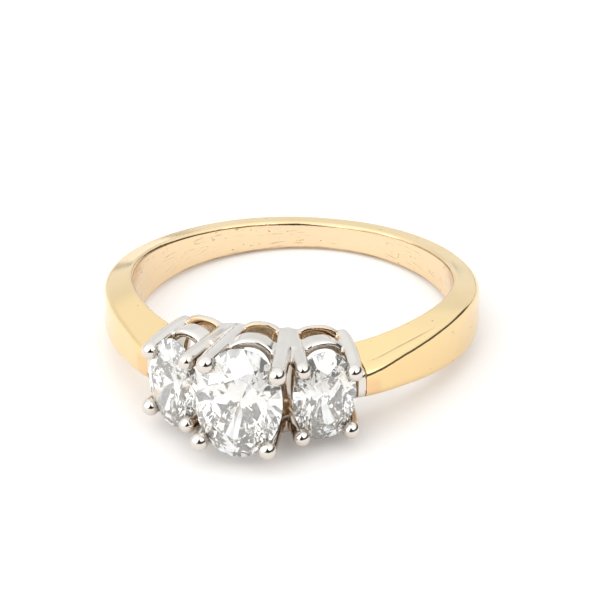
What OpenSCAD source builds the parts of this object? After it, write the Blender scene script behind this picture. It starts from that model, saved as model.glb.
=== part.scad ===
// Three stone ring: a tapered gold band that carries a white metal head with three oval brilliants.
// Millimetres. The ring lies on its side, as it rests on a table: the floor is z = 0 and the
// origin is under the middle of the ring. The head points to -Y and is raised a little, because
// the ring rests on the foot of the head and on the back of the band.

/* [Finger] */
// Inside diameter of the ring
inner_d = 16.9; // [15:0.1:21]

/* [Band] */
// Thickness of the band at its back
back_t = 1; // [0.8:0.05:1.8]
// Thickness of the band where it meets the head
shoulder_t = 2.5; // [1.9:0.05:3]
// Greatest width of the band, at its inner rim
rim_w = 3.32; // [2.6:0.02:4]
// Greatest width of the band's outer face
face_w = 2; // [1.2:0.05:2.4]
// Radius that softens the edges of the outer face
edge_r = 0.22; // [0.1:0.02:0.3]
// Comfort rounding of the inner rim
rim_r = 0.16; // [0.08:0.02:0.25]
// Angle from the middle of the head to the solder seam of each shoulder
seam_a = 32; // [31:0.5:36]
// Thickness of the seat that each shoulder is soldered to
seat_t = 0.5; // [0.4:0.05:0.8]

/* [Stones] */
// Width of the centre stone
centre_w = 4.5; // [4:0.05:4.9]
// Length of the centre stone, along the finger
centre_l = 6.1; // [5:0.05:7]
// Width of the side stones
side_w = 3.45; // [3:0.05:3.8]
// Length of the side stones, along the finger
side_l = 4.9; // [4:0.05:5.6]
// Width of a stone's table as a share of the stone
table_share = 0.58; // [0.5:0.01:0.66]
// Height of a stone's crown as a share of its width
crown_share = 0.145; // [0.1:0.005:0.18]
// Depth of a stone's pavilion as a share of its width
pavilion_share = 0.43; // [0.38:0.01:0.46]
// Thickness of a stone's girdle
girdle_t = 0.12; // [0.06:0.01:0.2]
// Clearance between a stone and the metal that holds it
stone_gap = 0.03; // [0.02:0.01:0.06]

/* [Head] */
// Height of the centre stone's girdle above the finger hollow
centre_lift = 4.94; // [4.4:0.05:5.6]
// Height of the side stones' girdles above the finger hollow
side_lift = 3.36; // [3.1:0.05:4]
// Angle from the middle of the head to the side stones
side_a = 19.6; // [18:0.2:22]
// Angle by which the side stones face outwards
side_turn = 30.5; // [26:0.5:34]
// Lean of the centre basket, as it was soldered
centre_lean = 5.5; // [-6:0.5:6]
// Height of the centre stone above the ring's middle, as its basket was soldered
centre_rise = 0.38; // [-0.4:0.02:0.5]
// Height of the side stones above the ring's middle
side_rise = 0.1; // [-0.3:0.02:0.3]
// Wall of the rails
rail_wall = 0.48; // [0.35:0.01:0.6]
// Height of the upper rails
rail_h = 1.12; // [0.8:0.02:1.3]
// Depth of the centre stone's upper rail below its girdle
centre_rail_drop = 1.9; // [1.6:0.05:2.2]
// Depth of the side stones' upper rails below their girdles
side_rail_drop = 1.38; // [1.2:0.05:1.5]
// How much narrower the centre's upper rail is than its stone
centre_rail_slim = 1; // [0.6:0.05:1.2]
// How much narrower the sides' upper rails are than their stones
side_rail_slim = 0.15; // [0:0.05:0.4]
// Thickness of the base rails above the finger hollow
base_t = 0.4; // [0.3:0.02:0.6]
// How much shorter the centre's base rail is than its stone
centre_base_cut = 0.5; // [0:0.02:0.8]
// How much longer the sides' base rails are than their stones
side_base_over = 0.3; // [0:0.02:0.6]

/* [Prongs] */
// Diameter of a prong
prong_d = 0.9; // [0.7:0.02:1]
// Diameter of the round bead at a prong's tip
bead_d = 0.94; // [0.92:0.02:1.16]
// How much thicker the centre stone's prongs and beads are, as a share
centre_over = 0.05; // [0:0.01:0.12]
// Height of the beads' centres above the girdle
bead_rise = 0.38; // [0.3:0.02:0.5]
// How far outside the stone's outline the beads' centres are, as a share of it
grip_out = 0.06; // [0.03:0.01:0.1]
// How far the outermost prongs bow outwards
bow = 0.12; // [0.04:0.01:0.2]
// Height of the prongs' feet above and below the ring's middle
foot_rise = 1.98; // [1.7:0.02:2.2]
// Height of the outermost feet above and below the ring's middle
end_foot_rise = 1.8; // [1.5:0.02:2]
// Angle from the middle of the head to the joint between two baskets
joint_a = 9.3; // [8.5:0.1:10]
// Angle between the two prong feet at that joint
feet_apart = 3; // [2:0.2:5]
// Thickness of the webs that fill the forks between two baskets
web_t = 0.84; // [0.5:0.02:0.9]

/* [Hidden] */
$fn = 64;
gold = "#e5bd62";
white_metal = "#d8d6d2";
diamond = "#f1f6f8";

inner_r = inner_d / 2;
trim = 0.5; // depth by which pieces start inside the finger hollow, before it is cut
sweep_a = 180 - seam_a;
steps = 28; // steps of the band's sweep on each side of its back
side_skew = side_turn - side_a;
foot_r = inner_r + base_t / 2;

// The band's sections, evenly spaced from its back to a seam, all as shares of the named sizes
// Columns: growth from back_t to shoulder_t, width of the inner rim, width of the outer face
band_table = [
    [0.00, 0.47, 0.76],
    [0.01, 0.485, 0.78],
    [0.03, 0.53, 0.82],
    [0.08, 0.58, 0.85],
    [0.15, 0.66, 0.88],
    [0.24, 0.78, 0.92],
    [0.31, 0.91, 0.96],
    [0.36, 0.98, 1.00],
    [0.42, 1.00, 0.96],
    [0.60, 0.92, 0.78],
    [1.00, 0.81, 0.55],
];

// Smooth curve through a column of the table, at share u of the way from the back to the seam
function row(i) = band_table[min(max(i, 0), len(band_table) - 1)];
function through(a, b, c, d, s) =
    b + s * (c - a) / 2 + s * s * (2 * a - 5 * b + 4 * c - d) / 2 + s * s * s * (3 * b - a - 3 * c + d) / 2;
function column(c, u) =
    let (x = abs(u) * (len(band_table) - 1), i = min(floor(x), len(band_table) - 2))
    through(row(i == 0 ? 1 : i - 1)[c], row(i)[c], row(i + 1)[c], row(i + 2)[c], x - i);
function band_t(u) = back_t + (shoulder_t - back_t) * column(0, u);
function rim_half(u) = rim_w / 2 * column(1, u);
function face_half(u) = face_w / 2 * column(2, u);

// Upper half of the band's section, as [radius, height] from the hollow out to the outer face
function upper_half(u, inset) =
    let (w = rim_half(u), f = face_half(u), r = inner_r + band_t(u))
    let (slope = [inner_r + rim_r - r, w - f], along = slope / norm(slope))
    concat(
        [[inner_r - inset, w - 1.5 * rim_r]],
        [for (a = [60 : -30 : 0]) [inner_r + rim_r * (1 - sin(a)), w - rim_r * (1 - cos(a))]],
        [for (s = [0 : 1 / 3 : 1.01])
            let (from = [r, f] + edge_r * along, to = [r, f - edge_r])
            (1 - s) * (1 - s) * from + 2 * s * (1 - s) * [r, f] + s * s * to]
    );
// The whole section, from the upper corner of its outer face round by the hollow to the lower one
function section(u, inset) =
    let (up = upper_half(u, inset))
    concat([for (i = [len(up) - 1 : -1 : 0]) up[i]], [for (p = up) [p.x, -p.y]]);
function at_angle(p, a) = [p.x * sin(a), p.x * cos(a), p.y];
function band_points(inset) = [
    for (i = [-steps : steps]) for (p = section(i / steps, inset)) at_angle(p, sweep_a * i / steps)
];

// Angles on the stones' outlines where the prongs grip them, as they were bent by hand
// Rows: left, centre and right stone. Columns: lower left, lower right, upper left, upper right
grip_table = [
    [42, 44, 42, 43],
    [44, 43, 39, 39],
    [46, 47, 44, 30],
];
// How much further out than grip_out each bead is, as shares, in the same rows and columns
reach_table = [
    [-0.06, 0.01, -0.10, 0.00],
    [0.06, 0.00, 0.00, 0.01],
    [0.08, 0.05, -0.02, -0.06],
];

// The stones are numbered k = -1, 0 and 1 from left to right
function stone_w(k) = k == 0 ? centre_w : side_w;
function stone_l(k) = k == 0 ? centre_l : side_l;
function stone_rise(k) = k == 0 ? centre_rise : side_rise;
function stone_r(k) = inner_r + (k == 0 ? centre_lift : side_lift);
function lean(k) = k == 0 ? centre_lean : 0;

// Points on a basket: t across the finger, z along it and n outwards from the stone's girdle
function turned(p, a) = [p.x * cos(a) - p.y * sin(a), p.x * sin(a) + p.y * cos(a)];
function on_basket(k, t, z, n) =
    let (flat = turned([t, z], -lean(k)), out = turned([flat.x, -n], k * side_turn))
    [out.x + stone_r(k) * sin(k * side_a), out.y - stone_r(k) * cos(k * side_a), flat.y];
function prong_tip(k, x, u) =
    let (column = (u + 1) + (x + 1) / 2, a = grip_table[k + 1][column])
    let (out = (1 + grip_out + reach_table[k + 1][column]) / 2)
    on_basket(k, x * stone_w(k) * out * cos(a), u * stone_l(k) * out * sin(a), bead_rise)
    + [0, 0, stone_rise(k)];

// Foot of a prong inside the finger hollow, before the hollow is cut
end_a = 2 * side_a - joint_a;
function foot_a(k, x) =
    k == 0 ? x * (joint_a - feet_apart / 2) : k * (x == k ? end_a : joint_a + feet_apart / 2);
function prong_foot(k, x, u) =
    let (a = foot_a(k, x), r = inner_r - trim, z = u * (x == k ? end_foot_rise : foot_rise))
    [r * sin(a) + z * sin(lean(k)), -r * cos(a), z * cos(lean(k))];
centre_y = -stone_r(0);

// The ring rests on the lowest end of the centre basket and on the back of the band
function leaned_reach(l, w) = norm([l * cos(centre_lean), w * sin(centre_lean)]) / 2;
head_feet = [
    [-inner_r, -leaned_reach(centre_l - centre_base_cut, 0)],
    [centre_y + centre_rail_drop + rail_h, -leaned_reach(centre_l, 0)],
    [centre_y, centre_rise - leaned_reach(centre_l, centre_w)],
];
back_points = [for (p = band_points(0)) if (p.y > 0) [p.y, p.z]];
tilt = atan(max([
    for (c = head_feet) min([for (p = back_points) (p.y - c.y) / (p.x - c.x)])
]));
function resting_z(p) = p.y * cos(tilt) - p.x * sin(tilt);
function resting_y(p) = p.x * cos(tilt) + p.y * sin(tilt);
rest_lift = -min([for (p = concat(head_feet, back_points)) resting_z(p)]);
front_bead = [centre_y - bead_rise - bead_d * (1 + centre_over) / 2, -leaned_reach(centre_l, centre_w) / 2];
rest_shift = -(max([for (p = back_points) resting_y(p)]) + resting_y(front_bead)) / 2;

module resting() {
    translate([0, rest_shift, rest_lift]) rotate([-tilt, 0, 0]) children();
}

module finger_hollow() {
    translate([0, 0, -inner_d]) cylinder(h = 2 * inner_d, r = inner_r, $fn = 128);
}

// Band

module shank() {
    count = len(section(0, trim));
    last = 2 * steps;
    walls = [
        for (i = [0 : last - 1]) for (j = [0 : count - 1])
            let (a = i * count + j, b = i * count + (j + 1) % count, c = b + count, d = a + count)
            each [[a, c, b], [a, d, c]]
    ];
    ends = [[for (j = [0 : count - 1]) j], [for (j = [0 : count - 1]) last * count + (count - j) % count]];
    color(gold) resting() difference() {
        polyhedron(points = band_points(trim), faces = concat(walls, ends), convexity = 6);
        finger_hollow();
    }
}

// Stones

// One ring of points on the stone's oval, at share s of its outline
function oval_ring(w, l, s, n, count, shift) = [
    for (k = [0 : count - 1]) let (a = 360 / count * (k + shift)) [s * w / 2 * cos(a), s * l / 2 * sin(a), n]
];
// Places of the rings where the upper and lower facets meet, as shares of the outline
upper_share = 0.78;
lower_share = 0.24;
function gem_points(w, l, grow) =
    let (crown = crown_share * w, pavilion = pavilion_share * w, g = girdle_t / 2 + grow)
    let (upper_rise = crown * (1 - upper_share * cos(22.5)) / (1 - table_share))
    let (lower_drop = pavilion * (1 - lower_share * cos(22.5)))
    concat(
        oval_ring(w + 2 * grow, l + 2 * grow, table_share, g + crown, 8, 0),
        oval_ring(w + 2 * grow, l + 2 * grow, upper_share, g + upper_rise, 8, 0.5),
        oval_ring(w + 2 * grow, l + 2 * grow, 1, g, 16, 0),
        oval_ring(w + 2 * grow, l + 2 * grow, 1, -g, 16, 0),
        oval_ring(w + 2 * grow, l + 2 * grow, lower_share, -g - lower_drop, 8, 0.5),
        [[0, 0, -g - pavilion]]
    );
gem_faces = concat(
    [[7, 6, 5, 4, 3, 2, 1, 0]],
    [for (k = [0 : 7])
        let (next = (k + 1) % 8, before = (k + 7) % 8, main = 2 * k, half = 2 * k + 1, far = (2 * k + 2) % 16)
        each [
            [next, 8 + k, k],
            [8 + k, 16 + main, 8 + before, k],
            [16 + half, 16 + main, 8 + k],
            [16 + far, 16 + half, 8 + k],
            [16 + half, 32 + half, 32 + main, 16 + main],
            [16 + far, 32 + far, 32 + half, 16 + half],
            [32 + main, 32 + half, 48 + k],
            [32 + half, 32 + far, 48 + k],
            [48 + before, 32 + main, 48 + k, 56],
        ]]
);

// An oval brilliant with its girdle in the plane z = 0, or the same shape grown by a clearance
module gem(w, l, grow = 0) {
    polyhedron(points = gem_points(w, l, grow), faces = gem_faces, convexity = 2);
}
module at_basket(k) {
    translate([stone_r(k) * sin(k * side_a), -stone_r(k) * cos(k * side_a), 0])
        rotate([90, 0, k * side_turn]) rotate([0, 0, -lean(k)]) children();
}
module at_stone(k) {
    translate([0, 0, stone_rise(k)]) at_basket(k) children();
}
module stone(k) {
    color(diamond) resting() at_stone(k) gem(stone_w(k), stone_l(k));
}

// Head

// Oval outline, a little fuller than an ellipse
module oval(w, l) {
    sides = 32;
    full = 0.84; // power of the oval: 1 is an ellipse and less is fuller
    function swell(x) = sign(x) * pow(abs(x), full);
    polygon([for (k = [0.5 : sides]) let (a = 360 / sides * k) [w / 2 * swell(cos(a)), l / 2 * swell(sin(a))]]);
}
// A rail: an oval band whose outline is w by l, from depth n0 to n1 under the girdle
module rail(w, l, n0, n1) {
    translate([0, 0, -n1]) linear_extrude(height = n1 - n0) difference() {
        oval(w, l);
        oval(w - 2 * rail_wall, l - 2 * rail_wall);
    }
}
// A round bar that ends in a ball. Its seam is turned by spin, away from the stone
module bar(from, to, d, ball_d, spin) {
    v = to - from;
    translate(from) rotate([0, acos(v.z / norm(v)), atan2(v.y, v.x)]) rotate([0, 0, spin]) {
        cylinder(h = norm(v), d = d);
        translate([0, 0, norm(v)]) sphere(d = ball_d);
    }
}
// The outermost prongs bow outwards on their way up, the others are straight
module prongs(k) {
    over = k == 0 ? 1 + centre_over : 1;
    halfway = 0.58; // share of a prong's length where it bows the most
    knuckle = 1.05; // the ball in a bowed prong is a little thicker than the prong
    for (x = [-1, 1]) for (u = [-1, 1]) {
        foot = prong_foot(k, x, u);
        tip = prong_tip(k, x, u);
        elbow = foot + halfway * (tip - foot) + x * bow * [cos(k * side_turn), sin(k * side_turn), 0];
        spin = u > 0 ? 180 : 0;
        if (x == k) {
            bar(foot, elbow, prong_d, prong_d * knuckle, spin);
            bar(elbow, tip, prong_d, bead_d, spin);
        } else {
            bar(foot, tip, prong_d * over, bead_d * over, spin);
        }
    }
}

centre_base_w = 2 * foot_r * sin(joint_a) + rail_wall;
side_base_w = 2 * foot_r * sin(side_a - joint_a) + rail_wall;

module centre_rails() {
    at_basket(0) {
        rail(centre_w - centre_rail_slim, centre_l, centre_rail_drop, centre_rail_drop + rail_h);
        rail(centre_base_w, centre_l - centre_base_cut, centre_lift - base_t, centre_lift + trim);
    }
}
// The sides' upper rails are square to their stones and the base rails are square to the finger
module side_rails(s) {
    skew = s * tan(side_skew) * (side_rail_drop + rail_h / 2);
    at_basket(s) translate([skew, 0, 0])
        rail(side_w - side_rail_slim, side_l, side_rail_drop, side_rail_drop + rail_h);
    rotate([90, 0, s * side_a]) translate([0, 0, stone_r(s)])
        rail(side_base_w, side_l + side_base_over, side_lift - base_t, side_lift + trim);
}
// Flat web that fills the fork between the prongs of two baskets
module web(s) {
    fork = 0.64; // share of the prongs' length where the fork opens
    inset = 0.2; // share of the web's width that stays inside each prong
    for (u = [-1, 1]) {
        a = prong_foot(0, s, u);
        b = a + fork * (prong_tip(0, s, u) - a);
        c = prong_foot(s, -s, u);
        d = c + fork * (prong_tip(s, -s, u) - c);
        outline = [a + inset * (c - a), b + inset * (d - b), d + inset * (b - d), c + inset * (a - c)];
        translate([0, 0, u * foot_rise - web_t / 2])
            linear_extrude(height = web_t) polygon([for (p = outline) [p.x, p.y]]);
    }
}
// Seat at the seam: a plate with the outline of the band's end
module seat(s) {
    rotate([90, 0, 90 - s * sweep_a]) translate([0, 0, s > 0 ? 0 : -seat_t])
        linear_extrude(height = seat_t) polygon(section(1, trim));
}
// Everything past the seam, where the band is
module past_seam(s) {
    rotate([0, 0, s * seam_a]) translate([s > 0 ? 0 : -inner_d, -2 * inner_d, -inner_d])
        cube([inner_d, 2 * inner_d, 2 * inner_d]);
}

module head() {
    color(white_metal) resting() difference() {
        union() {
            centre_rails();
            for (k = [-1 : 1]) prongs(k);
            for (s = [-1, 1]) {
                side_rails(s);
                web(s);
                seat(s);
            }
        }
        finger_hollow();
        for (s = [-1, 1]) past_seam(s);
        for (k = [-1 : 1]) at_stone(k) gem(stone_w(k), stone_l(k), stone_gap);
    }
}

shank();
head();
stone(0);  // centre_stone
stone(-1);  // left_stone
stone(1);  // right_stone
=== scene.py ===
import math
import bmesh
import bpy
import numpy as np
from mathutils import Matrix


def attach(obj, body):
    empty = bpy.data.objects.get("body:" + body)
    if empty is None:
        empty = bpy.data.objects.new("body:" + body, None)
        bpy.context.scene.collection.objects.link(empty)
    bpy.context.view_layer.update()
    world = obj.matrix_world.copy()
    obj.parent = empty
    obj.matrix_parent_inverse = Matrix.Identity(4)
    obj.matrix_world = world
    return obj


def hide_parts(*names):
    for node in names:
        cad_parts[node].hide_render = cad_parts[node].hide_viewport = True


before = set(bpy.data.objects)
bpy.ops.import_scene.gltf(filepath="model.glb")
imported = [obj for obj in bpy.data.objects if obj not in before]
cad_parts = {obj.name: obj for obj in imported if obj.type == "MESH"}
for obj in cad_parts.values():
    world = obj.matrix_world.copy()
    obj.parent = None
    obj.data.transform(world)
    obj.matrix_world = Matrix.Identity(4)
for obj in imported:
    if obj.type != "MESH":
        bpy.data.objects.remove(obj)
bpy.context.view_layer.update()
print("frame loaded:", ", ".join(sorted(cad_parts)))

# Lengths are worked in millimetres in the ring's own frame: the finger runs along Z and the stones face -Y.
# layDown turns that frame into the scene, where the ring lies on the floor as it rests, in metres.
rest = {"tilt": 6.60826, "shift": 2.44725, "lift": 1.8224}
finger = {"radius": 8.45}
millimetre = 0.001
perMetre = 1000


def restTurn():
    t = math.radians(rest["tilt"])
    return np.array([[1, 0, 0], [0, math.cos(t), math.sin(t)], [0, -math.sin(t), math.cos(t)]])


def layDown(points):
    return (points @ restTurn().T + (0, rest["shift"], rest["lift"])) * millimetre


def grow(x, over):
    # 0 where x is 0 or less, 1 from over on, and a straight slope between
    return np.clip(x / over, 0, 1)


def smoothThrough(table, at):
    # Catmull-Rom curve through evenly spaced rows: all columns at shares 0..1, or 0..-1 for the other side
    rows = np.asarray(table, float)
    x = np.abs(at) * (len(rows) - 1)
    i = np.minimum(x.astype(int), len(rows) - 2)
    s = (x - i)[:, None]
    a, b = rows[np.where(i == 0, 1, i - 1)], rows[i]
    c, d = rows[i + 1], rows[np.minimum(i + 2, len(rows) - 1)]
    bend, twist = 2 * a - 5 * b + 4 * c - d, 3 * b - a - 3 * c + d
    return b + s * (c - a) / 2 + s * s * bend / 2 + s ** 3 * twist / 2


def gridQuads(rows, cols, closeRows=False):
    # quads between the rows and columns of a grid of points; the columns always close, the rows if asked
    i, j = np.meshgrid(np.arange(rows - (not closeRows)), np.arange(cols), indexing="ij")
    i2, j2 = (i + 1) % rows, (j + 1) % cols
    return np.stack([i * cols + j, i * cols + j2, i2 * cols + j2, i2 * cols + j], -1).reshape(-1, 4)


def addObject(name, mesh):
    piece = bpy.data.objects.new(name, mesh)
    bpy.context.scene.collection.objects.link(piece)
    return piece


def newPiece(name, points, faces, smooth=True):
    mesh = bpy.data.meshes.new(name)
    mesh.from_pydata(points.tolist(), [], [list(map(int, f)) for f in faces])
    mesh.polygons.foreach_set("use_smooth", np.full(len(mesh.polygons), smooth))
    mesh.update()
    return addObject(name, mesh)


def markPoints(mesh, name, values):
    # an attribute for the material: one number, or three, for each point
    kind, slot = ("FLOAT_VECTOR", "vector") if values.shape[-1] == 3 else ("FLOAT", "value")
    marks = mesh.attributes.new(name, kind, "POINT")
    marks.data.foreach_set(slot, values.astype(np.float32).ravel())


class Wire:
    # a socket that maths can be written on
    def __init__(self, tree, socket):
        self.tree, self.socket = tree, socket

    def maths(self, operation, *values):
        return addNode(self.tree, "ShaderNodeMath", {"operation": operation}, dict(enumerate(values)))

    def __add__(self, other):
        return self.maths("ADD", self, other)

    def __radd__(self, other):
        return self.maths("ADD", other, self)

    def __sub__(self, other):
        return self.maths("SUBTRACT", self, other)

    def __rsub__(self, other):
        return self.maths("SUBTRACT", other, self)

    def __mul__(self, other):
        return self.maths("MULTIPLY", self, other)

    def __rmul__(self, other):
        return self.maths("MULTIPLY", other, self)

    def size(self):
        return self.maths("ABSOLUTE", self)

    def orMore(self, other):
        return self.maths("MAXIMUM", self, other)

    def rise(self, low, high):
        # 0 at low and 1 at high, with a smooth slope between; low may be the larger of the two
        return addNode(self.tree, "ShaderNodeMapRange", {"interpolation_type": "SMOOTHSTEP"},
                       {"Value": self, "From Min": low, "From Max": high})

    def split(self):
        # a vector's three numbers
        node = addNode(self.tree, "ShaderNodeSeparateXYZ", {}, {"Vector": self}).socket.node
        return [Wire(self.tree, socket) for socket in node.outputs]


def addNode(tree, kind, settings=None, sockets=None, out=0):
    # one node: its settings first, then its sockets' values or links; gives back one output as a Wire
    node = tree.nodes.new(kind)
    for key, value in (settings or {}).items():
        if key == "stops":
            ramp = node.color_ramp
            while len(ramp.elements) < len(value):
                ramp.elements.new(0.5)
            for element, (place, colour) in zip(ramp.elements, value):
                element.position, element.color = place, colour
        else:
            setattr(node, key, value)
    for key, value in (sockets or {}).items():
        if isinstance(value, Wire):
            tree.links.new(value.socket, node.inputs[key])
        else:
            node.inputs[key].default_value = value
    return Wire(tree, node.outputs[out])


def newMaterial(name, settings):
    # a Principled material whose constants are set straight on its sockets
    material = bpy.data.materials.new(name)
    material.use_nodes = True
    shader = material.node_tree.nodes["Principled BSDF"]
    for key, value in settings.items():
        shader.inputs[key].default_value = value
    return material, material.node_tree, shader


def newMetal(name, look):
    return newMaterial(name, {"Metallic": 1.0, "Roughness": look["roughness"]})


def feed(node, wires):
    for name, wire in wires.items():
        wire.tree.links.new(wire.socket, node.inputs[name])


def mixColour(tree, factor, a, b):
    # the Mix node has a set of sockets for each kind of value: 6 and 7 are its colours, and so is output 2
    return addNode(tree, "ShaderNodeMix", {"data_type": "RGBA"}, {0: factor, 6: a, 7: b}, out=2)


def ownPlace(tree):
    return addNode(tree, "ShaderNodeTexCoord", out="Object")


def attribute(tree, name, out):
    return addNode(tree, "ShaderNodeAttribute", {"attribute_name": name}, out=out)


def noise(vector, scale, detail):
    return addNode(vector.tree, "ShaderNodeTexNoise", {},
                   {"Vector": vector, "Scale": scale, "Detail": detail})


def relief(height, strength, distance):
    return addNode(height.tree, "ShaderNodeBump", {},
                   {"Height": height, "Strength": strength, "Distance": distance})


# metals: colours as Blender's linear red, green, blue and alpha
goldLook = {
    "colour": (0.83, 0.632, 0.35, 1), "worn": (0.79, 0.57, 0.30, 1), "shoulder": (0.83, 0.62, 0.325, 1),
    # the hollow's colour is painted light: a paler, brighter copy of the gold for the wall of the hollow
    "hollow": (0.85, 0.66, 0.43, 1), "solder": (0.79, 0.53, 0.29, 1), "speck": (0.38, 0.27, 0.15, 1),
    # the darkest brown is painted shade, for the dark lines along the rims and in the polish groove
    "rimPaintedShade": (0.40, 0.28, 0.16, 1), "roughness": 0.13,
    # noise through the metal: scale and detail; the levels between which the worn colour comes in; its share
    "patches": (350, 3), "fine": (4000, 2), "wornLevels": (0.4, 0.7), "wornShare": 0.5,
    # millimetres from the middle of the back where the shoulders' colour comes in
    "shoulderFrom": (15.5, 19.5),
    # the solder at the seams: millimetres from the back, how far its edge wanders, and millimetres round the
    # section from the middle of the hollow's wall
    "solderFrom": (21.0, 21.3), "solderWander": 1.2, "solderIn": (4.0, 4.5), "solderOut": (7.0, 6.0),
    "solderShare": 0.9,
    # marks laid out along and round the band: stretch each way, detail, and the levels where they begin and
    # are full
    "marks": {
        "pit": ((3.4, 5.0), 3, (0.63, 0.70)), "pittedPart": ((0.35, 0.8), 1, (0.47, 0.58)),
        "outerPit": ((2.7, 3.1), 2, (0.71, 0.75)), "scratch": ((0.9, 12), 2, (0.58, 0.68)),
        "scratchedPart": ((0.3, 0.9), 1, (0.44, 0.56)), "rimPart": ((0.6, 0.0), 2, (0.35, 0.65)),
    },
    # long polish lines: stretch each way and detail
    "polish": ((0.25, 9), 2),
    # how much each mark darkens (on the rims this is painted shade), how much it roughens, how high or deep
    # it is, and the relief's strength and its height in metres
    "pitDark": 0.85, "scratchDark": 0.5, "rimDark": 0.45, "rimPartDark": 0.5,
    "patchRough": 0.10, "polishRough": 0.10, "pitRough": 0.3,
    "fineHigh": 0.5, "polishHigh": 1.2, "pitDeep": 3.0, "scratchDeep": 0.8, "relief": (0.2, 0.000012),
}


def goldMaterial():
    # "bandPlace" holds the way along the band and round its section in millimetres, and how near a point lies
    # to the wall of the hollow: 1 on it, 0 away from it. The other attribute holds the painted shade of the
    # dark rim lines.
    look = goldLook
    material, tree, shader = newMetal("polishedYellowGold", look)
    along, around, inner = attribute(tree, "bandPlace", "Vector").split()

    def onBand(stretch, detail):
        vector = addNode(tree, "ShaderNodeCombineXYZ", {}, {0: along * stretch[0], 1: around * stretch[1]})
        return noise(vector, 1, detail)

    def marks(name):
        stretch, detail, levels = look["marks"][name]
        return onBand(stretch, detail).rise(*levels)

    patches, fine = (noise(ownPlace(tree), *look[name]) for name in ("patches", "fine"))
    worn = patches.rise(*look["wornLevels"]) * look["wornShare"]
    colour = mixColour(tree, worn, look["colour"], look["worn"])
    fromBack = along.size()
    colour = mixColour(tree, fromBack.rise(*look["shoulderFrom"]), colour, look["shoulder"])
    # painted light: the wall of the hollow gets a paler, brighter copy of the gold
    colour = mixColour(tree, inner, colour, look["hollow"])
    solder = (fromBack + (patches - 0.5) * look["solderWander"]).rise(*look["solderFrom"])
    solder = solder * around.rise(*look["solderIn"]) * around.rise(*look["solderOut"])
    colour = mixColour(tree, solder * look["solderShare"], colour, look["solder"])
    # pits, most of them on the wall of the hollow, and rubbed marks there
    pits = marks("pit") * marks("pittedPart") * inner + marks("outerPit") * (1 - inner)
    scratches = marks("scratch") * marks("scratchedPart") * inner
    colour = mixColour(tree, pits * look["pitDark"], colour, look["speck"])
    colour = mixColour(tree, scratches * look["scratchDark"], colour, look["speck"])
    # painted shade: dark lines along the rims of the hollow and in the polish line, for the dark surroundings
    # they mirror
    paintedLines = attribute(tree, "rimLine", "Fac") * (look["rimDark"] + marks("rimPart") * look["rimPartDark"])
    colour = mixColour(tree, paintedLines, colour, look["rimPaintedShade"])
    polish = onBand(*look["polish"])
    rough = look["roughness"] + (patches - 0.5) * look["patchRough"] + (polish - 0.5) * look["polishRough"]
    height = fine * look["fineHigh"] + polish * look["polishHigh"]
    height = height - pits * look["pitDeep"] - scratches * look["scratchDeep"]
    rough = rough + pits * look["pitRough"]
    feed(shader, {"Base Color": colour, "Roughness": rough, "Normal": relief(height, *look["relief"])})
    return material


whiteLook = {
    # brown is painted shade for the metal in recesses, warmed by the gold it mirrors
    "colour": (0.71, 0.665, 0.615, 1), "warm": (0.65, 0.58, 0.50, 1), "brown": (0.40, 0.30, 0.205, 1),
    "bronze": (0.66, 0.47, 0.27, 1), "amber": (0.40, 0.25, 0.12, 1), "roughness": 0.12,
    # noise through the metal: scale and detail; the levels between which the warm colour comes in; its share
    "patches": (600, 3), "fine": (5000, 2), "warmLevels": (0.4, 0.75), "warmShare": 0.4,
    # painted shade in recesses: how far round a point metal is looked for, in metres, with how many rays, and
    # how open the point is where the painted brown shade begins and where it is full
    "reach": 0.0022, "rays": 8, "openness": (0.60, 0.12),
    # how much bronze the marked metal shows, how much the patches roughen it, and the relief's strength and
    # its height in metres
    "bronzeShare": 0.85, "patchRough": 0.1, "relief": (0.12, 0.000008),
}


def whiteMetalMaterial():
    # "warmth" marks the metal that mirrors the band and the finger's side of the baskets
    look = whiteLook
    material, tree, shader = newMetal("polishedWhiteMetal", look)
    patches, fine = (noise(ownPlace(tree), *look[name]) for name in ("patches", "fine"))
    stops = list(zip(look["warmLevels"], ((0, 0, 0, 1), (1, 1, 1, 1))))
    warm = addNode(tree, "ShaderNodeValToRGB", {"stops": stops}, {"Fac": patches})
    colour = mixColour(tree, warm * look["warmShare"], look["colour"], look["warm"])
    # painted shade: the less open the metal is, the more it turns brown
    openness = addNode(tree, "ShaderNodeAmbientOcclusion", {"samples": look["rays"]},
                       {"Distance": look["reach"]}, out="AO")
    colour = mixColour(tree, openness.rise(*look["openness"]), colour, look["brown"])
    bronze = mixColour(tree, patches, look["amber"], look["bronze"])
    colour = mixColour(tree, attribute(tree, "warmth", "Fac") * look["bronzeShare"], colour, bronze)
    rough = look["roughness"] + (patches - 0.5) * look["patchRough"]
    feed(shader, {"Base Color": colour, "Roughness": rough, "Normal": relief(fine, *look["relief"])})
    return material


stoneLook = {
    "colour": (0.895, 0.892, 0.878, 1), "cool": (0.868, 0.882, 0.91, 1), "warm": (0.90, 0.893, 0.81, 1),
    # refraction, the noise that mixes the three colours (scale and detail), and its level for each of them
    "index": 2.417, "cloud": (800, 1), "cloudLevels": {"cool": 0.38, "colour": 0.5, "warm": 0.60},
    "haze": 0.20, "hazeColour": (0.92, 0.91, 0.87, 1), "hazeRough": 0.5,
}


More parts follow.
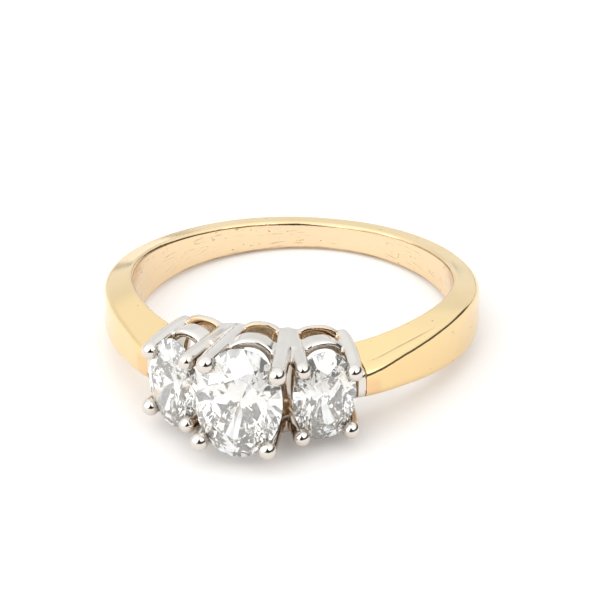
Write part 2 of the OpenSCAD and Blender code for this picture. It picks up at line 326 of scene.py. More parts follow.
def stoneMaterial():
    # clear stone; a little white haze on its outside keeps the dark facets grey
    look = stoneLook
    material, tree, shader = newMaterial("clearStone", {
        "Roughness": 0.0, "IOR": look["index"], "Transmission Weight": 1.0,
    })
    haze = addNode(tree, "ShaderNodeBsdfPrincipled", {},
                   {"Base Color": look["hazeColour"], "Roughness": look["hazeRough"]})
    inside = addNode(tree, "ShaderNodeNewGeometry", out="Backfacing")
    mix = addNode(tree, "ShaderNodeMixShader", {},
                  {0: (1 - inside) * look["haze"], 1: Wire(tree, shader.outputs[0]), 2: haze})
    feed(tree.nodes["Material Output"], {"Surface": mix})
    stops = [(level, look[name]) for name, level in look["cloudLevels"].items()]
    cloud = noise(ownPlace(tree), *look["cloud"])
    feed(shader, {"Base Color": addNode(tree, "ShaderNodeValToRGB", {"stops": stops}, {"Fac": cloud})})
    return material


gold, whiteMetal, clearStone = goldMaterial(), whiteMetalMaterial(), stoneMaterial()
print("materials made")


band = {
    # thickness at the back and at the shoulders, widest rim and widest outer face
    "backThick": 1.0, "shoulderThick": 2.5, "rimWidth": 3.32, "faceWidth": 2.0,
    # how far the ridge is rounded each way at the back and at the shoulders, how much the growth lifts it,
    # the radius of the rim's turn, degrees from the middle of the head to a seam, and steps from the back to
    # a seam
    "edge": 0.24, "shoulderEdge": 0.40, "ridgeLift": 0.18, "rim": 0.2, "seamAngle": 32.0, "steps": 420,
    # how many points a half section has on the wall of the hollow, the turn of its rim, the side, beside the
    # groove, on the rounded ridge and on the outer face
    "points": {"wall": 8, "rim": 9, "side": 12, "beside": 2, "ridge": 10, "face": 8},
    # growth, width of the inner rim and width of the outer face, from the back to a seam, as shares
    "sections": [
        [0.00, 0.47, 0.76], [0.01, 0.485, 0.78], [0.03, 0.53, 0.82], [0.08, 0.58, 0.85], [0.15, 0.66, 0.88],
        [0.24, 0.78, 0.92], [0.31, 0.91, 0.96], [0.36, 0.98, 1.00], [0.42, 1.00, 0.96], [0.60, 0.92, 0.78],
        [1.00, 0.81, 0.55],
    ],
    # how much higher the upper ridge lies than the lower one, at the left and the right, from back to seam
    "ridgeUp": [
        [0, 0], [0, 0], [0, 0], [0, 0.01], [0.02, 0.03], [0.05, 0.09], [0.11, 0.24], [0.20, 0.40],
        [0.29, 0.28], [0.32, 0.14], [0.35, -0.02],
    ],
    # how dark the painted shade on the turn of the rim is, from the wall of the hollow outwards: above, above
    # at the sides, below; the sides lie between these shares of the way from the back to a seam
    "rimAbove": [0, 0.3, 1, 1, 0.3, 0, 0, 0, 0], "rimSides": [0.2, 1, 0.8, 0.1, 0, 0.6, 1, 0.3, 0],
    "rimBelow": [0, 0.5, 1, 1, 1, 1, 1, 0.6, 0.3], "sidesFrom": 0.5, "sidesTo": 0.85, "sidesFade": 0.1,
    # polish line on the right shoulder: half width, depth, darkness of the painted shade in its bed, how far
    # from the ridge and how much further to the seam
    "grooveHalf": 0.05, "grooveDeep": 0.045, "grooveDark": 1.2, "grooveOff": 0.39, "grooveAway": 1.9,
    # where it begins and ends, as shares of that way, and over how much it deepens and fades
    "grooveFrom": 0.79, "grooveTo": 0.99, "grooveIn": 0.05, "grooveOut": 0.04,
    # how far outside the wall of the hollow its colour, painted light, ends
    "wallFade": 0.12,
}


def line(a, b, count):
    # points from a to b, both (sections, 2), without the last
    s = np.arange(count)[None, :, None] / count
    return a[:, None] * (1 - s) + b[:, None] * s


def bandHalf(u, up=0.0, groove=0.0):
    # half of the sections at shares u, from the middle of the hollow's wall round to the middle of the face,
    # with the ridge higher by up and a groove that deep beside it: a quarter round rim, a straight side, and
    # a ridge rounded by the curve (1-s)^2 start + 2s(1-s) corner + s^2 end
    count = band["points"]
    growth, rim, face = smoothThrough(band["sections"], u).T
    thick = band["backThick"] + (band["shoulderThick"] - band["backThick"]) * growth
    w, r = band["rimWidth"] / 2 * rim, finger["radius"] + thick
    f = band["faceWidth"] / 2 * face + band["ridgeLift"] * np.clip(growth, 0, 1) + up
    r0, rimR = np.full_like(w, finger["radius"]), band["rim"]
    edge = (band["edge"] + (band["shoulderEdge"] - band["edge"]) * np.clip(growth, 0, 1))[:, None]
    wall = line(np.stack([r0, 0 * w], -1), np.stack([r0, w - rimR], -1), count["wall"])
    turn = np.radians(np.arange(count["rim"]) * (90 / count["rim"]))[None, :]
    arcOut, arcUp = r0[:, None] + rimR * (1 - np.cos(turn)), (w - rimR)[:, None] + rimR * np.sin(turn)
    rimTop, corner = np.stack([r0 + rimR, w], -1), np.stack([r, f], -1)
    along = rimTop - corner
    along /= np.linalg.norm(along, axis=1)[:, None]
    start, end = corner + edge * along, np.stack([r, f - edge[:, 0]], -1)
    off = band["grooveOff"] + band["grooveAway"] * np.maximum(np.abs(u) - band["grooveFrom"], 0)[:, None]
    far, near = (corner + (off + way * band["grooveHalf"]) * along for way in (1, -1))
    into = np.stack([-along[:, 1], along[:, 0]], -1)
    bed = corner + off * along + np.broadcast_to(groove, u.shape)[:, None] * into
    side = [line(rimTop, far, count["side"]), far[:, None], bed[:, None], line(near, start, count["beside"])]
    s = np.linspace(0, 1, count["ridge"] + 1)[None, :-1, None]
    ridge = (1 - s) ** 2 * start[:, None] + 2 * s * (1 - s) * corner[:, None] + s * s * end[:, None]
    middle = np.stack([r, 0 * w], -1)
    outer = [line(end, middle, count["face"]), middle[:, None]]
    return np.concatenate([wall, np.stack([arcOut, arcUp], -1)] + side + [ridge] + outer, 1)


def paintedShadeMarks(u, cut, rows, cols):
    # painted shade: how dark each point is painted on the turns of the rim above and below and in the bed of
    # the polish line
    count = band["points"]
    first, last = count["wall"], count["wall"] + count["rim"]
    bed = last + count["side"] + 1
    dark = np.zeros((rows, cols))
    away, fade = np.abs(u)[:, None], band["sidesFade"]
    beside = grow(away - band["sidesFrom"], fade) * grow(band["sidesTo"] - away, fade)
    dark[:, first:last] = np.array(band["rimAbove"]) * (1 - beside) + np.array(band["rimSides"]) * beside
    dark[:, cols - last + 1:cols - first + 1] = band["rimBelow"][::-1]
    dark[:, bed] = cut * band["grooveDark"]
    return dark


def makeBand():
    # the sections carried round the finger from the left seam (-1) past the back (0) to the right seam (1)
    u = np.linspace(-1, 1, 2 * band["steps"] + 1)
    ridgeUp = smoothThrough(band["ridgeUp"], u)
    cut = grow(u - band["grooveFrom"], band["grooveIn"]) * grow(band["grooveTo"] - u, band["grooveOut"])
    upper = bandHalf(u, np.where(u < 0, ridgeUp[:, 0], ridgeUp[:, 1]), cut * band["grooveDeep"])
    lower = bandHalf(u) * (1, -1)
    section = np.concatenate([upper, lower[:, -2:0:-1]], 1)
    angle = np.radians(180 - band["seamAngle"]) * u[:, None]
    points = np.stack([section[..., 0] * np.sin(angle), section[..., 0] * np.cos(angle), section[..., 1]], -1)
    rows, cols = section.shape[:2]
    faces = gridQuads(rows, cols).tolist()
    faces += [list(range(cols - 1, -1, -1)), [(rows - 1) * cols + j for j in range(cols)]]
    piece = newPiece("band", layDown(points.reshape(-1, 3)), faces)
    around = np.cumsum(np.linalg.norm(np.diff(section, axis=1, prepend=section[:, :1]), axis=2), 1)
    along = np.broadcast_to(angle * finger["radius"], around.shape)
    inner = 1 - grow(section[..., 0] - finger["radius"], band["wallFade"])
    markPoints(piece.data, "bandPlace", np.stack([along, around, inner], -1))
    # painted shade for the dark lines along the rims and in the polish groove
    markPoints(piece.data, "rimLine", paintedShadeMarks(u, cut, rows, cols)[..., None])
    piece.data.materials.append(gold)
    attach(piece, "root")
    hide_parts("shank")


makeBand()
print("band made")


# k names a stone and its basket: -1 left, 0 centre, 1 right; x is its left (-1) or right (1) side, and u its
# lower (-1) or upper (1) half
stones = {
    "centreWidth": 4.5, "centreLength": 6.1, "sideWidth": 3.45, "sideLength": 4.9,
    # how far the girdles lie over the hollow's radius; degrees round the finger to the side stones, and how
    # far these turn away
    "centreLift": 4.94, "sideLift": 3.36, "sideAngle": 19.6, "sideTurn": 30.5,
    # degrees that the centre basket leans, and how far the stones sit off the band's middle plane
    "centreLean": 5.5, "centreRise": 0.38, "sideRise": 0.1,
}
head = {
    # rails under the stones and base rails on the finger's side; swell is the power that squares the ovals
    "railWall": 0.48, "railHeight": 1.12, "railEdge": 0.17, "railSwell": 0.84, "railSides": 96,
    "cornerPoints": 5,
    "centreRailDrop": 1.9, "sideRailDrop": 1.38, "centreRailSlim": 1.0, "sideRailSlim": 0.15,
    "baseWall": 0.7, "baseThick": 0.4, "centreBaseCut": 0.5, "sideBaseOver": 0.3,
    # prongs: width, bead, how much larger those of the centre stone are, how far the outermost and the others
    # bow, how square they are, over how much of them, below the bead, they turn round, and how far the bead's
    # middle lies over the girdle and outside it, the last as a share of the stone
    "prong": 0.9, "bead": 0.95, "centreOver": 0.05, "bow": 0.17, "innerBow": 0.03, "square": 2.7,
    "squareFade": 0.9, "beadRise": 0.38, "gripOut": 0.06, "prongSides": 32, "prongRings": 40,
    # the bead's rings, by their angle over its middle, and the gap to the last ring before them
    "beadRings": 24, "beadFrom": -60, "beadTo": 89, "beadGap": 0.05,
    # feet: how far inside the hollow's wall they start before they are cut to it, the share of the prong that
    # this stretches and how fast it runs on from the cut, then their heights and their angles
    "footIn": 0.5, "footShare": 0.4, "footPace": 0.5, "footRise": 1.98, "endFootRise": 1.8, "jointAngle": 9.3,
    "feetApart": 3.0, "endIn": 1.5,
    # webs: width, how far up the prongs they begin and end, round corners and rings
    "web": 0.92, "webFrom": 0.1, "fork": 0.57, "webEdge": 0.12, "webRings": 14,
    # the seats, the size of the cells that melt it all together, how much its corners then soften, and how
    # far the metal stays off the stones
    "seatThick": 0.5, "seatRings": 4, "voxel": 0.065, "soften": 9, "softenFactor": 0.5, "stoneGap": 0.02,
    # where the prongs grip: lower left, lower right, upper left, upper right; degrees round the girdle, and
    # how much further out than usual, as a share of the stone
    "grips": {-1: (42, 44, 42, 43), 0: (44, 43, 39, 39), 1: (46, 47, 44, 30)},
    "reach": {-1: (-0.06, 0.01, -0.10, 0.0), 0: (0.06, 0.0, 0.0, 0.01), 1: (0.08, 0.05, -0.02, -0.06)},
    # metal that mirrors brown: up to this radius, where it faces outwards by this much, and the seats from
    # this angle on, where they face the baskets by this much, each with the span over which it comes in
    "brownRadius": 9.75, "brownFade": 0.5, "brownOut": 0.35, "brownOutFade": 0.4,
    "seatFrom": 26, "seatFade": 1.5, "seatIn": 0.3, "seatInFade": 0.4,
}


def stoneSize(k):
    kind = "centre" if k == 0 else "side"
    return stones[kind + "Width"], stones[kind + "Length"]


def stoneRadius(k):
    return finger["radius"] + stones["centreLift" if k == 0 else "sideLift"]


def stoneRise(k):
    return (0, 0, stones["centreRise" if k == 0 else "sideRise"])


def onBasket(k, t, z, n):
    # t across the finger, z along it, n outwards from the girdle of stone k
    lean = math.radians(-stones["centreLean"] if k == 0 else 0)
    turn = math.radians(k * stones["sideTurn"])
    flatX, flatZ = t * math.cos(lean) - z * math.sin(lean), t * math.sin(lean) + z * math.cos(lean)
    outX, outY = flatX * math.cos(turn) + n * math.sin(turn), flatX * math.sin(turn) - n * math.cos(turn)
    a = math.radians(k * stones["sideAngle"])
    return np.stack([outX + stoneRadius(k) * math.sin(a), outY - stoneRadius(k) * math.cos(a), flatZ], -1)


def prongTip(k, x, u):
    column = (u + 1) + (x + 1) // 2
    a = math.radians(head["grips"][k][column])
    w, l = stoneSize(k)
    out = (1 + head["gripOut"] + head["reach"][k][column]) / 2
    across, up = np.float64(x * w * out * math.cos(a)), np.float64(u * l * out * math.sin(a))
    return onBasket(k, across, up, head["beadRise"]) + stoneRise(k)


def footAngle(k, x):
    if k == 0:
        return x * (head["jointAngle"] - head["feetApart"] / 2)
    end = 2 * stones["sideAngle"] - head["jointAngle"]
    return k * (end - head["endIn"] if x == k else head["jointAngle"] + head["feetApart"] / 2)


def prongFoot(k, x, u):
    a, r = math.radians(footAngle(k, x)), finger["radius"] - head["footIn"]
    z = u * (head["endFootRise"] if x == k else head["footRise"])
    lean = math.radians(stones["centreLean"] if k == 0 else 0)
    return np.array([r * math.sin(a) + z * math.sin(lean), -r * math.cos(a), z * math.cos(lean)])


def roundedBox(width, radius):
    # closed outline of a box 1 high with round corners, as (across, up) from 0
    turn = np.radians(np.linspace(0, 90, head["cornerPoints"]))
    parts = []
    for cx, cy, start in ((width - radius, 1 - radius, 0), (radius, 1 - radius, 90), (radius, radius, 180),
                          (width - radius, radius, 270)):
        a = turn + math.radians(start)
        parts.append(np.stack([cx + radius * np.cos(a), cy + radius * np.sin(a)], -1))
    return np.concatenate(parts)


def ovalRail(width, length, wall, place):
    # rail: a rounded box carried round the oval cos^p, sin^p; place puts (flat, up) on a basket or the finger
    a = np.linspace(0, 2 * np.pi, head["railSides"], endpoint=False)
    swell = lambda x: np.sign(x) * np.abs(x) ** head["railSwell"]
    outline = np.stack([swell(np.cos(a)), swell(np.sin(a))], -1)
    box = roundedBox(wall, head["railEdge"])
    outer, inner = outline * (width / 2, length / 2), outline * (width / 2 - wall, length / 2 - wall)
    share = (box[:, 0] / wall)[None, :, None]
    flat = inner[:, None] + (outer - inner)[:, None] * share
    return place(flat, box[:, 1][None, :]), gridQuads(head["railSides"], len(box), True)


def underStone(k, drop, skew=0.0):
    # from railHeight further under the girdle of stone k (up 0) to drop under it (up 1)
    def place(flat, up):
        bottom = drop + head["railHeight"]
        return onBasket(k, flat[..., 0] + skew, flat[..., 1], (bottom - drop) * up - bottom)
    return place


def onFinger(angle, lean):
    # from the hollow's round wall (up 0) to a flat top baseThick above it (up 1)
    def place(flat, up):
        a, tilt = math.radians(angle), math.radians(-lean)
        x = flat[..., 0] * math.cos(tilt) - flat[..., 1] * math.sin(tilt)
        z = flat[..., 0] * math.sin(tilt) + flat[..., 1] * math.cos(tilt)
        low = np.sqrt(finger["radius"] ** 2 - x * x)
        y = -(low + (finger["radius"] + head["baseThick"] - low) * up)
        return np.stack([x * math.cos(a) - y * math.sin(a), x * math.sin(a) + y * math.cos(a), z], -1)
    return place


def closedTube(rings):
    # rings (n, m, 3) joined into a tube whose ends close on a point
    n, m = rings.shape[:2]
    points = np.concatenate([rings.reshape(-1, 3), rings[0].mean(0)[None], rings[-1].mean(0)[None]])
    faces = gridQuads(n, m).tolist()
    j = np.arange(m)
    faces += np.stack([(j + 1) % m, j, np.full(m, n * m)], -1).tolist()
    faces += np.stack([(n - 1) * m + j, (n - 1) * m + (j + 1) % m, np.full(m, n * m + 1)], -1).tolist()
    return points, faces


def prongShape(k, x, u):
    # a finger from its foot to its tip: squarish lower down, round in the bead, and bowed outwards
    foot, tip = prongFoot(k, x, u), prongTip(k, x, u)
    along = tip - foot
    length = np.linalg.norm(along)
    along /= length
    side = np.cross(along, (0, 0, 1.0))
    side /= np.linalg.norm(side)
    other = np.cross(along, side)
    over = 1 + head["centreOver"] * (k == 0)
    bar, bead = head["prong"] / 2 * over, head["bead"] / 2 * over
    rise = np.radians(np.linspace(head["beadFrom"], head["beadTo"], head["beadRings"]))
    dome = length + bead * np.sin(rise)
    s = np.concatenate([np.linspace(0, dome[0] - head["beadGap"], head["prongRings"]), dome])
    beadPart = np.sqrt(np.maximum(bead ** 2 - (s - length) ** 2, 0))
    radius = np.where(s > length, beadPart, np.maximum(bar, beadPart))
    # superellipse |x|^p + |y|^p = r^p, with p from the square bar down to 2 in the bead
    power = 2 + (head["square"] - 2) * grow(length - s, head["squareFade"])
    a = np.linspace(0, 2 * np.pi, head["prongSides"], endpoint=False)
    bend = lambda x: np.sign(x) * np.abs(x) ** (2 / power[:, None])
    ring = bend(np.cos(a)[None])[..., None] * side + bend(np.sin(a)[None])[..., None] * other
    turn = math.radians(k * stones["sideTurn"])
    outward = x * np.array([math.cos(turn), math.sin(turn), 0])
    bow = head["bow" if x == k else "innerBow"] * np.sin(np.pi * np.clip(s / length, 0, 1))
    rings = foot + bow[:, None, None] * outward + radius[:, None, None] * ring
    # the foot follows the round wall: each line starts where it meets the hollow's radius
    q = rings[0]
    aa = along[0] ** 2 + along[1] ** 2
    bb = q[:, 0] * along[0] + q[:, 1] * along[1]
    cc = q[:, 0] ** 2 + q[:, 1] ** 2 - finger["radius"] ** 2
    start = (-bb + np.sqrt(bb * bb - aa * cc)) / aa
    fade = grow(s[:, None], length * head["footShare"])
    place = s[:, None] * fade + (start + s[:, None] * head["footPace"]) * (1 - fade)
    return closedTube(rings + place[..., None] * along)


def webShape(s, u):
    # slab between the inner prongs of the centre basket and basket s, from near the hollow to the fork
    a, c = prongFoot(0, s, u), prongFoot(s, -s, u)
    b, d = a + head["fork"] * (prongTip(0, s, u) - a), c + head["fork"] * (prongTip(s, -s, u) - c)
    box = roundedBox(1.0, head["webEdge"]) - 0.5
    t = np.linspace(head["webFrom"], 1, head["webRings"])[:, None]
    left, right = a + (b - a) * t, c + (d - c) * t
    middle, across = (left + right) / 2, right - left
    wide, high = across[:, None] * box[None, :, :1], np.array([0, 0, head["web"]]) * box[None, :, 1:]
    return closedTube(middle[:, None] + wide + high)


def seatShape(s):
    # plate with the outline of the band's end
    up = band["ridgeUp"][-1][0 if s < 0 else 1]
    upper, lower = bandHalf(np.array([1.0]), up)[0], bandHalf(np.array([1.0]))[0] * (1, -1)
    section = np.concatenate([upper, lower[-2:0:-1]])
    a = math.radians(s * (180 - band["seamAngle"]))
    out, along = np.array([math.sin(a), math.cos(a), 0]), np.array([math.cos(a), -math.sin(a), 0]) * s
    flat = section[:, :1] * out + section[:, 1:] * np.array([0, 0, 1.0])
    depth = np.linspace(0, head["seatThick"], head["seatRings"])
    return closedTube(flat[None] + depth[:, None, None] * along)


def headParts():
    # every part of the head as its own closed shape: rails, seats, webs and prongs, which overlap
    c, h = stones, head
    footR = finger["radius"] + h["baseThick"] / 2
    baseW, sideBaseW = (2 * footR * math.sin(math.radians(a)) + h["railWall"]
                        for a in (h["jointAngle"], c["sideAngle"] - h["jointAngle"]))
    parts = [
        ovalRail(c["centreWidth"] - h["centreRailSlim"], c["centreLength"], h["railWall"],
                 underStone(0, h["centreRailDrop"])),
        ovalRail(baseW, c["centreLength"] - h["centreBaseCut"], h["baseWall"], onFinger(0, c["centreLean"])),
    ]
    for s in (-1, 1):
        lean = math.tan(math.radians(c["sideTurn"] - c["sideAngle"]))
        skew = s * lean * (h["sideRailDrop"] + h["railHeight"] / 2)
        parts.append(ovalRail(c["sideWidth"] - h["sideRailSlim"], c["sideLength"], h["railWall"],
                              underStone(s, h["sideRailDrop"], skew)))
        parts.append(ovalRail(sideBaseW, c["sideLength"] + h["sideBaseOver"], h["baseWall"],
                              onFinger(s * c["sideAngle"], 0)))
        parts.append(seatShape(s))
        parts += [webShape(s, u) for u in (-1, 1)]
    parts += [prongShape(k, x, u) for k in (-1, 0, 1) for x in (-1, 1) for u in (-1, 1)]
    return parts


def melt(parts):
    # overlapping closed shapes melted into one skin with soft inner corners, in millimetres
    points, faces, count = [], [], 0
    for p, f in parts:
        p = np.asarray(p).reshape(-1, 3)
        points.append(p)
        faces += [[int(i) + count for i in q] for q in f]
        count += len(p)
    rough = newPiece("rough", np.concatenate(points), faces)
    remesh = rough.modifiers.new("cast", "REMESH")
    remesh.mode, remesh.voxel_size, remesh.use_smooth_shade = "VOXEL", head["voxel"], True
    soften = rough.modifiers.new("soften", "SMOOTH")
    soften.factor, soften.iterations = head["softenFactor"], head["soften"]
    graph = bpy.context.evaluated_depsgraph_get()
    mesh = bpy.data.meshes.new_from_object(rough.evaluated_get(graph))
    bpy.data.objects.remove(rough)
    return mesh


def pointRows(mesh, name):
    rows = np.zeros(len(mesh.vertices) * 3, np.float32)
    mesh.vertices.foreach_get(name, rows)
    return rows.reshape(-1, 3)


def brownMarks(flat, normal):
    # the metal just outside the hollow, where it faces outwards, is seen brown by what it mirrors, and so are
    # the seats, where they face the baskets
    radius = np.hypot(flat[:, 0], flat[:, 1])
    outwards = (normal[:, :2] * flat[:, :2]).sum(1) / radius
    near = grow(head["brownRadius"] - radius, head["brownFade"])
    near *= grow(outwards - head["brownOut"], head["brownOutFade"])
    angle = np.degrees(np.arctan2(np.abs(flat[:, 0]), -flat[:, 1]))
    inwards = -np.sign(flat[:, 0]) * (normal[:, 0] * -flat[:, 1] + normal[:, 1] * flat[:, 0]) / radius
    seats = grow(angle - head["seatFrom"], head["seatFade"])
    return np.maximum(near, seats * grow(inwards - head["seatIn"], head["seatInFade"]))


def makeSetting(gems):
    mesh = melt(headParts())
    flat = pointRows(mesh, "co").astype(float)
    # nothing reaches into the hollow
    flat[:, :2] *= np.maximum(finger["radius"] / np.hypot(flat[:, 0], flat[:, 1]), 1)[:, None]
    co = layDown(flat)
    # metal inside a stone moves out through the stone's nearest face
    for normals, offsets in gems:
        depth = co @ normals.T - offsets - head["stoneGap"] * millimetre
        nearest = depth.argmax(1)
        deep = depth[np.arange(len(co)), nearest]
        co -= np.minimum(deep, 0)[:, None] * normals[nearest]
    mesh.vertices.foreach_set("co", co.astype(np.float32).ravel())
    mesh.polygons.foreach_set("use_smooth", np.ones(len(mesh.polygons), bool))
    mesh.name = "setting"
    mesh.update()
    markPoints(mesh, "warmth", brownMarks(flat, pointRows(mesh, "normal") @ restTurn())[:, None])
    mesh.materials.clear()
    mesh.materials.append(whiteMetal)
    setting = addObject("setting", mesh)
    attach(setting, "root")
    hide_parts("head")
    print("head made,", len(mesh.polygons), "faces")


gem = {
    # sides of the oval bar; facets nearer upright than this are the CAD girdle's and are left out
    "sides": 96, "girdle": 0.2,
    # two triangles of one facet agree to this many decimals; how exactly the cuts are made and joined, in mm
    "decimals": 5, "cutWithin": 1e-5, "joinWithin": 2e-4,
}


def gemPlanes(node):
    # unit normals and distances from the origin of a stone's faces
    faces = node.data.polygons
    normals, centres = np.zeros(len(faces) * 3), np.zeros(len(faces) * 3)
    faces.foreach_get("normal", normals)
    faces.foreach_get("center", centres)
    turn = np.array(node.matrix_world)
    normals = normals.reshape(-1, 3) @ turn[:3, :3].T
    centres = centres.reshape(-1, 3) @ turn[:3, :3].T + turn[:3, 3]
    return normals, (normals * centres).sum(1)


def ovalBar(k):
    # upright bar with the outline of stone k's girdle, in millimetres
    w, l = stoneSize(k)
    a = np.linspace(0, 2 * np.pi, gem["sides"], endpoint=False)
    across, up = w / 2 * np.cos(a), l / 2 * np.sin(a)
    rings = [onBasket(k, across, up, np.full_like(a, n)) + stoneRise(k) for n in (-w, w)]
    bar, count = bmesh.new(), len(a)
    corners = [bar.verts.new(v) for v in layDown(np.concatenate(rings)) * perMetre]
    bar.faces.new(corners[:count])
    bar.faces.new(corners[count:][::-1])
    for i in range(count):
        j = (i + 1) % count
        bar.faces.new((corners[j], corners[i], corners[count + i], corners[count + j]))
    bmesh.ops.recalc_face_normals(bar, faces=bar.faces[:])
    return bar


def makeGem(k, node, name):
    # the CAD stone's facets cut from an oval bar with a smooth outline, so its girdle is scalloped
    bar = ovalBar(k)
    normals, offsets = gemPlanes(node)
    out = layDown(onBasket(k, np.zeros(2), np.zeros(2), np.array([0.0, 1.0])))
    axis = (out[1] - out[0]) * perMetre
    planes = np.column_stack([normals, offsets * perMetre])[np.abs(normals @ axis) > gem["girdle"]]
    for x, y, z, offset in np.unique(np.round(planes, gem["decimals"]), axis=0):
        whole = bar.verts[:] + bar.edges[:] + bar.faces[:]
        cut = bmesh.ops.bisect_plane(bar, geom=whole, dist=gem["cutWithin"], clear_outer=True,
                                     plane_co=(x * offset, y * offset, z * offset), plane_no=(x, y, z))
        rim = [e for e in cut["geom_cut"] if isinstance(e, bmesh.types.BMEdge)]
        if len(rim) > 2:
            bmesh.ops.contextual_create(bar, geom=rim)
    bmesh.ops.remove_doubles(bar, verts=bar.verts[:], dist=gem["joinWithin"])
    bmesh.ops.recalc_face_normals(bar, faces=bar.faces[:])
    bmesh.ops.scale(bar, vec=(millimetre,) * 3, verts=bar.verts[:])
    mesh = bpy.data.meshes.new(name)
    bar.to_mesh(mesh)
    bar.free()
    piece = addObject(name, mesh)
    piece.data.materials.append(clearStone)
    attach(piece, "root")
    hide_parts(node.name)
    print(name, len(mesh.polygons), "faces", [round(v * perMetre, 2) for v in piece.dimensions])
    return piece


gemRows = ((0, "centre_stone", "centreGem"), (-1, "left_stone", "leftGem"), (1, "right_stone", "rightGem"))
gems = [makeGem(k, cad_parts[node], name) for k, node, name in gemRows]
makeSetting([gemPlanes(piece) for piece in gems])


studio = {
    "exposure": 0.42, "floor": (0.79, 0.77, 0.752, 1), "floorRough": 0.7, "floorShine": 0.2, "floorHalf": 1.5,
    "glow": (1, 0.99, 0.985, 1), "glowStrength": 0.14,
    # brightness of the light tent from the horizon up to its top, behind the ring and before it
    "back": [(0.0, 0.84), (0.14, 0.82), (0.36, 0.75), (0.50, 0.89), (0.62, 0.89), (1.0, 1.08)],
    "backTint": (0.965, 1.0, 1.03),
    "front": [(0.0, 1.5), (0.2, 1.7), (0.75, 1.7), (1.0, 0.95)], "frontTint": (1, 1, 1),
    # parts of the room, each from where it begins to where it is full: how far a direction points to the back
    # for the first three, to the right, and to either side, squared
    "tentFront": (0.25, -0.35), "lineBefore": (0.25, -0.1), "notBehind": (0.97, 0.8),
    "rightSide": (0.25, 0.55), "bothSides": (0.10, 0.30),
    # dark line where the floor ends: its height, how much higher it is at the right, its soft edge, and its
    # brightness before the ring, behind it and beside it
    "horizon": 0.06, "higher": 0.40, "lineEdge": -0.04, "lineFront": 0.09, "lineBack": 0.22, "lineSide": 0.4,
    # the dark figure at the camera: its direction, half its width at its foot, its top, its soft edges, where
    # it begins before the ring, and its shade
    "figureTurn": 12.6, "figureWidth": 0.64, "figureTop": 0.92, "figureEdge": (-0.03, 0.03),
    "figureFacing": (0.0, 0.1), "figureShade": 0.015,
    "bounces": 24, "glossyBounces": 8,
}


def grey(value):
    return (value, value, value, 1)


def makeFloor():
    half = studio["floorHalf"]
    points = np.array([[-half, -half, 0], [half, -half, 0], [half, half, 0], [-half, half, 0]])
    floor = newPiece("floor", points, [[0, 1, 2, 3]], False)
    material = newMaterial("paleFloor", {
        "Base Color": studio["floor"], "Roughness": studio["floorRough"],
        "Specular IOR Level": studio["floorShine"],
        "Emission Color": studio["glow"], "Emission Strength": studio["glowStrength"],
    })[0]
    floor.data.materials.append(material)


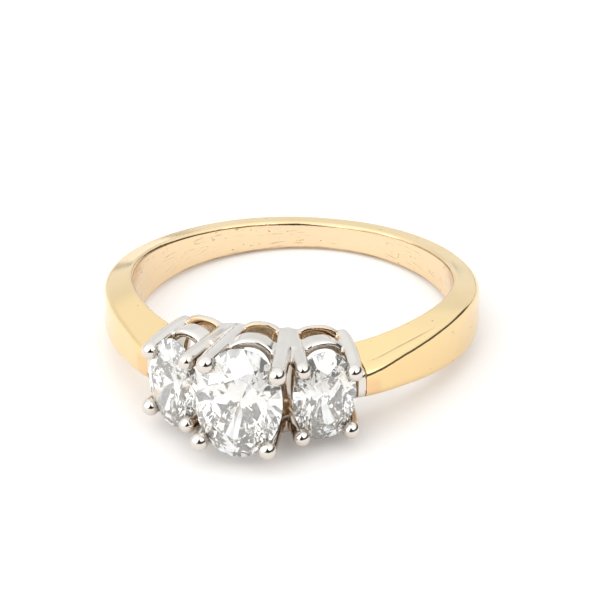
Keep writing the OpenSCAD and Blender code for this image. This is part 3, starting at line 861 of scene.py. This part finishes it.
def makeWorld():
    # a white tent that is dimmer behind the ring, a dark line at the floor's end and a dark figure in front
    world = bpy.data.worlds.new("studio")
    bpy.context.scene.world = world
    world.use_nodes = True
    tree = world.node_tree
    x, y, z = addNode(tree, "ShaderNodeTexCoord").split()

    def tent(name):
        ramp = [(at, tuple(v * t for t in studio[name + "Tint"]) + (1,)) for at, v in studio[name]]
        return addNode(tree, "ShaderNodeValToRGB", {"stops": ramp}, {"Fac": z})

    colour = mixColour(tree, y.rise(*studio["tentFront"]), tent("back"), tent("front"))
    right = x.rise(*studio["rightSide"]) * y.rise(*studio["notBehind"])
    back, beside, front = (grey(studio[name]) for name in ("lineBack", "lineSide", "lineFront"))
    dark = mixColour(tree, (x * x).rise(*studio["bothSides"]), back, beside)
    dark = mixColour(tree, y.rise(*studio["lineBefore"]).orMore(right), dark, front)
    below = (z - (studio["horizon"] + right * studio["higher"])).rise(0.0, studio["lineEdge"])
    colour = mixColour(tree, below, colour, dark)
    # the figure narrows evenly from its foot to its top
    a = math.radians(studio["figureTurn"])
    across = x * math.cos(a) + y * math.sin(a)
    facing = y * -math.cos(a) + x * math.sin(a)
    halfWidth = (studio["figureTop"] - z) * (studio["figureWidth"] / studio["figureTop"])
    inside = (halfWidth - across.size()).rise(*studio["figureEdge"]) * facing.rise(*studio["figureFacing"])
    colour = mixColour(tree, inside, colour, grey(studio["figureShade"]))
    feed(tree.nodes["Background"], {"Color": colour})


view = {
    # degrees round the ring, above it and rolled; distance in metres; how far the ring lies left of the
    # picture's middle and below it, in pixels of the photo, and the size of one; lens and sensor in
    # millimetres; nearest and furthest distance that is seen
    "turn": 11.9, "height": 24.86, "roll": -0.4, "distance": 0.3, "left": 6.42, "below": 1.2,
    "pixel": 0.053e-3, "lens": 339.4, "sensor": 36, "near": 0.01, "far": 10,
}


def makeCamera():
    # right, up and back of the camera in the ring's own frame, laid down with the ring
    a, e, roll = (math.radians(view[k]) for k in ("turn", "height", "roll"))
    right = np.array([math.cos(a), math.sin(a), 0])
    back = np.array([math.sin(a) * math.cos(e), -math.cos(a) * math.cos(e), math.sin(e)])
    up = np.cross(back, right)
    right, up = right * math.cos(roll) + up * math.sin(roll), up * math.cos(roll) - right * math.sin(roll)
    right, up, back = (restTurn() @ v for v in (right, up, back))
    middle = np.array([0, rest["shift"], rest["lift"]]) * millimetre
    aim = middle + right * view["left"] * view["pixel"] + up * view["below"] * view["pixel"]
    camera = bpy.data.cameras.new("camera")
    camera.lens, camera.sensor_width = view["lens"], view["sensor"]
    camera.clip_start, camera.clip_end = view["near"], view["far"]
    matrix = np.eye(4)
    matrix[:3] = np.stack([right, up, back, aim + back * view["distance"]], 1)
    holder = addObject("camera", camera)
    holder.matrix_world = Matrix(matrix.tolist())
    bpy.context.scene.camera = holder


makeFloor()
makeWorld()
makeCamera()
scene = bpy.context.scene
scene.view_settings.view_transform = "Standard"
scene.view_settings.exposure = studio["exposure"]
scene.cycles.max_bounces, scene.cycles.transmission_bounces = studio["bounces"], studio["bounces"]
scene.cycles.glossy_bounces = studio["glossyBounces"]
scene.cycles.use_denoising = True
print("floor, light and camera made")
